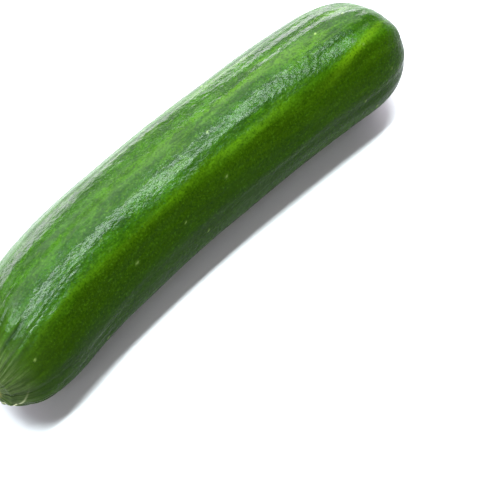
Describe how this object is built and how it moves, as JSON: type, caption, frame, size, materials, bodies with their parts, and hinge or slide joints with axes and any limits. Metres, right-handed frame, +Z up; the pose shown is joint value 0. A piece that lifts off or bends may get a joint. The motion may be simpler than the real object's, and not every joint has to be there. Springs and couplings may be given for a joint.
{
  "type": "cucumber",
  "caption": "Whole slicing cucumber lying on its side, slightly bowed, with low ribs, a puckered stem end with a dry scar, and a round blossom end.",
  "frame": {"origin": "on the surface that the cucumber lies on, under the middle of its bounding box", "axes": "+X along the cucumber from its stem end to its blossom end, +Y towards the side it bows out to, +Z up"},
  "size_m": [0.2338, 0.0576, 0.0514],
  "materials": {
    "cucumber_skin": "satin"
  },
  "bodies": {
    "root": {"cucumber": "cucumber_skin"}
  },
  "joints": []
}
